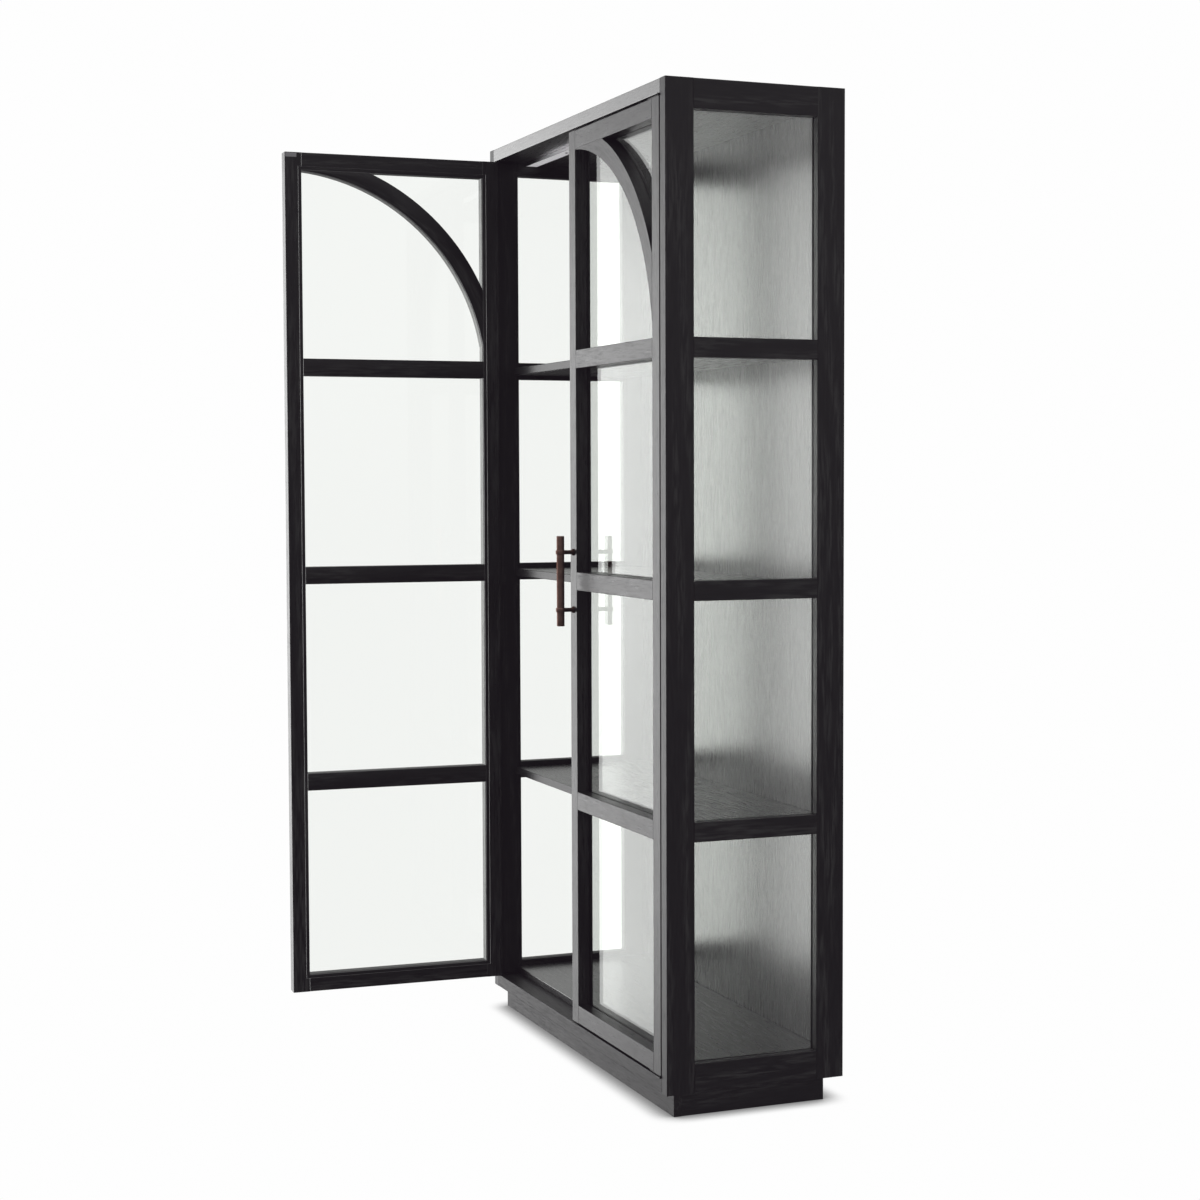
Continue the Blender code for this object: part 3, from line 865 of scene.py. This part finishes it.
def back_screws(material):
    """Screws around the edge of the back panel, and three behind each shelf."""
    first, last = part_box("back_panel")
    inset = 0.011
    radius = 0.0032
    mesh_data = bmesh.new()
    rows = 10
    columns = 5
    spots = []
    for row in range(rows):
        z = first.z + inset + (last.z - first.z - 2 * inset) * row / (rows - 1)
        spots += [(first.x + inset, z), (last.x - inset, z)]
    for column in range(1, columns - 1):
        x = first.x + inset + (last.x - first.x - 2 * inset) * column / (columns - 1)
        spots += [(x, first.z + inset), (x, last.z - inset)]
    for shelf_low, shelf_high in SHELVES.values():
        z = (shelf_low.z + shelf_high.z) / 2
        spots += [(x, z) for x in (-0.26, 0.0, 0.26)]
    for x, z in spots:
        add_mesh(mesh_data, screw_mesh((x, last.y, z), (0, 1, 0), radius, 0.0012))
    make_piece("back_panel_screws", mesh_data, material, "carcase", smooth=40)


# ---------------------------------------------------------------- studio

# Bands are ranges of a direction's rise, from -1 straight down to 1 straight up, or of
# how nearly it faces the key light, up to 1.
BACKDROP_WHITE = 0.99
KEY_HEADING = radians(202)          # where the tall soft light stands, from +X towards +Y
KEY_LIGHT = 2.9
KEY_SIDES = (0.78, 0.985)           # the key light's soft sides
KEY_FOOT = (-0.31, -0.21)           # most of it comes in here
KEY_FOOT_SHARE = 0.82
KEY_LOWER = (-0.20, 0.00)           # and the rest here
KEY_TOP = (0.07, 0.24)              # it fades out again here
LOW_WALLS = (0.05, 0.40)            # away from the key light, and beside it
WALL_SIDES = (0.72, 0.97)
HIGH_WALLS = (0.60, 0.34)           # left and right, above eye height
WALL_TURN = (-0.06, 0.08)           # from the low walls to the high ones
OVERHEAD = 1.3
OVERHEAD_BAND = (0.55, 0.85)
BLACK_VEIL = (0.0068, 0.0050, 0.0072)       # red, green and blue that black is lifted by
FLOOR_RADIUS = 40.0
SHADOW_REACH = 0.065                # how far the soft contact shadow spreads
SHADOW_SHARE = (0.25, 0.97)         # openness at the shadow's darkest and at its edge
SHADOW_GREY = (0.20, 0.20, 0.20, 1.0)
WHITE = (1.0, 1.0, 1.0, 1.0)
GLASS_SURFACES = 24                 # see-through surfaces that one ray may pass


def key_band(graph, rise):
    """How the key light fades above and below eye height."""
    foot = graph.math("ADD", graph.remap(rise, *KEY_FOOT, 0.0, KEY_FOOT_SHARE),
                      graph.remap(rise, *KEY_LOWER, 0.0, 1.0 - KEY_FOOT_SHARE))
    return graph.math("MULTIPLY", foot, graph.remap(rise, *KEY_TOP, 1.0, 0.0))


def studio_light(graph):
    """Brightness of the room by direction: a wide key light, dim walls and a pale ceiling."""
    view = graph.add("ShaderNodeTexCoord").outputs["Generated"]
    parts = graph.add("ShaderNodeSeparateXYZ")
    graph.feed(parts.inputs[0], view)
    rise = parts.outputs["Z"]
    flat = graph.vector("NORMALIZE", graph.vector("MULTIPLY", view, (1, 1, 0)))
    key_way = (cos(KEY_HEADING), sin(KEY_HEADING), 0)
    facing = graph.vector("DOT_PRODUCT", flat, key_way, output="Value")
    key = graph.math("MULTIPLY", graph.remap(facing, *KEY_SIDES, 0.0, KEY_LIGHT),
                     key_band(graph, rise))
    low_walls = graph.math("MULTIPLY", graph.remap(facing, *WALL_SIDES, *LOW_WALLS),
                           graph.remap(rise, *WALL_TURN, 1.0, 0.0))
    high_walls = graph.math("MULTIPLY", graph.remap(parts.outputs["X"], -0.5, 0.5, *HIGH_WALLS),
                            graph.remap(rise, *WALL_TURN))
    walls = graph.math("ADD", low_walls, high_walls)
    ceiling = graph.remap(rise, *OVERHEAD_BAND, 0.0, OVERHEAD)
    return graph.math("ADD", graph.math("ADD", key, walls), ceiling)


def make_world():
    """A white backdrop for the camera, and the studio's light for everything else."""
    world = bpy.data.worlds.new("studio")
    bpy.context.scene.world = world
    world.use_nodes = True
    graph = Graph(world.node_tree)
    light = graph.add("ShaderNodeBackground")
    graph.feed(light.inputs["Strength"], studio_light(graph))
    backdrop = graph.add("ShaderNodeBackground")
    backdrop.inputs["Color"].default_value = WHITE
    backdrop.inputs["Strength"].default_value = BACKDROP_WHITE
    seen = graph.add("ShaderNodeLightPath").outputs["Is Camera Ray"]
    share = graph.add("ShaderNodeMixShader")
    graph.feed(share.inputs[0], seen)
    graph.feed(share.inputs[1], light.outputs[0])
    graph.feed(share.inputs[2], backdrop.outputs[0])
    output = graph.add("ShaderNodeOutputWorld")
    graph.feed(output.inputs["Surface"], share.outputs[0])


def make_floor():
    """A white floor that gives its own even light, with a short contact shadow.

    No cast shadow falls on it, and it is kept out of glossy reflections.
    """
    mesh_data = bmesh.new()
    bmesh.ops.create_circle(mesh_data, cap_ends=True, segments=96, radius=FLOOR_RADIUS)
    mesh = bpy.data.meshes.new("floor")
    mesh_data.to_mesh(mesh)
    mesh_data.free()
    material, graph = new_material("pale_floor")
    open_sky = graph.add("ShaderNodeAmbientOcclusion", samples=24)
    open_sky.inputs["Distance"].default_value = SHADOW_REACH
    share = graph.remap(open_sky.outputs["AO"], *SHADOW_SHARE)
    colour = graph.mix(share, SHADOW_GREY, WHITE)
    glow = graph.add("ShaderNodeEmission")
    graph.feed(glow.inputs["Color"], colour)
    glow.inputs["Strength"].default_value = BACKDROP_WHITE
    finish_surface(graph, glow.outputs[0])
    mesh.materials.append(material)
    floor = bpy.data.objects.new("floor", mesh)
    floor.visible_glossy = False
    bpy.context.scene.collection.objects.link(floor)


def develop_picture(view):
    """Plain colours, with a faint purple veil over the blacks."""
    view.view_transform = "Standard"
    view.use_curve_mapping = True
    view.curve_mapping.black_level = [-amount for amount in BLACK_VEIL]
    view.curve_mapping.update()


def make_camera():
    """The camera, aimed by heading, pitch and roll."""
    heading = Vector((-sin(CAMERA_HEADING) * cos(CAMERA_PITCH),
                      cos(CAMERA_HEADING) * cos(CAMERA_PITCH), sin(CAMERA_PITCH)))
    right = heading.cross(Vector((0, 0, 1))).normalized()
    up = right.cross(heading)
    level = Matrix((right, up, -heading)).transposed()
    roll = Matrix.Rotation(-CAMERA_ROLL, 3, heading)
    camera_data = bpy.data.cameras.new("camera")
    camera_data.sensor_width = 36.0
    camera_data.lens = CAMERA_LENS
    camera_data.shift_x = CAMERA_SHIFT
    camera_data.clip_end = 200.0
    camera = bpy.data.objects.new("camera", camera_data)
    camera.matrix_world = Matrix.Translation(CAMERA_AT) @ (roll @ level).to_4x4()
    bpy.context.scene.collection.objects.link(camera)
    bpy.context.scene.camera = camera


# ---------------------------------------------------------------- finishes on the frame

def grain_axis(node):
    """Which way the grain runs in a wooden piece of the frame."""
    if "stile" in node or node == "back_panel":
        return "Z"
    if node.startswith(("left_side", "right_side")):
        return "Y"
    if node in ("plinth_left", "plinth_right", "plinth_centre_rail"):
        return "Y"
    return "X"


def finish_wood(node, seed):
    """The oak of one wooden piece of the frame: gloss differs by where it sits."""
    side = "left" if node.startswith("left_door") else "right"
    if node.endswith("_arch"):
        return oak(f"oak_{node}", "Z", seed, side, arch=True)
    if node == "back_panel":
        return oak(f"oak_{node}", "Z", seed, gloss=0.25, tone=1.4, lacquer=1.0, relief=0.04)
    if node in ("top_panel", "inner_floor"):
        return oak(f"oak_{node}", "X", seed, gloss=0.28, lacquer=0.9, relief=0.06)
    if node.startswith(("plinth", "bottom_panel")):
        return oak(f"oak_{node}", grain_axis(node), seed, gloss=0.44)
    if node.endswith("_shelf"):
        return oak(f"oak_{node}", "X", seed, gloss=0.26, lacquer=0.5, relief=0.08,
                   lipping=low(node).y)
    gloss = 0.29 if "door" in node else 0.36
    return oak(f"oak_{node}", grain_axis(node), seed, side, gloss=gloss)


def finish_frame(finishes):
    """Give every piece of the frame the material of its slot."""
    for seed, (name, node) in enumerate(sorted(NODES.items())):
        slot = node.data.materials[0].name.split(".")[0]
        node.visible_glossy = not name.startswith("left_door")      # as in make_piece
        material = finishes[slot] if slot in finishes else finish_wood(name, seed)
        node.material_slots[0].material = material


# The first grain seeds of the pieces that aren't in the frame
BEAD_SEED = 70
ARCH_SEED = 74
SIDE_SEED = 90
SEEDS_PER_SIDE = 5


def main():
    """Finish the frame, add every other piece, and set up the studio."""
    develop_picture(bpy.context.scene.view_settings)
    bpy.context.scene.cycles.transparent_max_bounces = GLASS_SURFACES
    finishes = {
        "clear_glass": clear_glass("float_glass"),
        "aged_bronze": aged_bronze("patinated_bronze"),
        "black_metal": black_metal("blackened_steel"),
        "satin_aluminium": satin_aluminium("anodised_aluminium"),
        "opal_plastic": opal_plastic("opal_diffuser"),
        "black_plastic": black_plastic("moulded_plastic"),
    }
    finish_frame(finishes)
    for index, side in enumerate(SIDE_SIGNS):
        offset = SEEDS_PER_SIDE * index
        pose = door_pose(side)
        wood = {axis: oak(f"oak_{side}_beads_{axis}", axis, BEAD_SEED + offset + step, side)
                for step, axis in enumerate("XZ")}
        door_beads(side, pose, wood)
        door_inner_bars(side, pose, wood)
        arch = oak(f"oak_{side}_inner_arch", "Z", ARCH_SEED + offset, side, arch=True)
        door_inner_arch(side, pose, arch)
        side_wood = {axis: oak(f"oak_{side}_side_beads_{axis}", axis, SIDE_SEED + offset + step)
                     for step, axis in enumerate("YZ")}
        side_glazing(side, side_wood)

    centre, radius = handle_bar(finishes["aged_bronze"])
    # The posts' bronze is a darker copy of the bar's: painted shade, for where they stand between the
    # bar and the door.
    post_bronze_with_painted_shade = aged_bronze("post_bronze_painted_shade", 0.30)
    for name in ("upper", "lower"):
        handle_post(name, centre, radius, post_bronze_with_painted_shade, finishes["aged_bronze"])
    plate_screws(finishes["black_metal"])
    strike_plates(finishes["satin_aluminium"])
    catch(finishes["black_plastic"], finishes["satin_aluminium"])
    light_fittings(finishes["black_plastic"], finishes["black_plastic"])
    shelf_brackets(finishes["black_metal"])
    back_screws(finishes["black_metal"])
    make_world()
    make_floor()
    make_camera()


main()
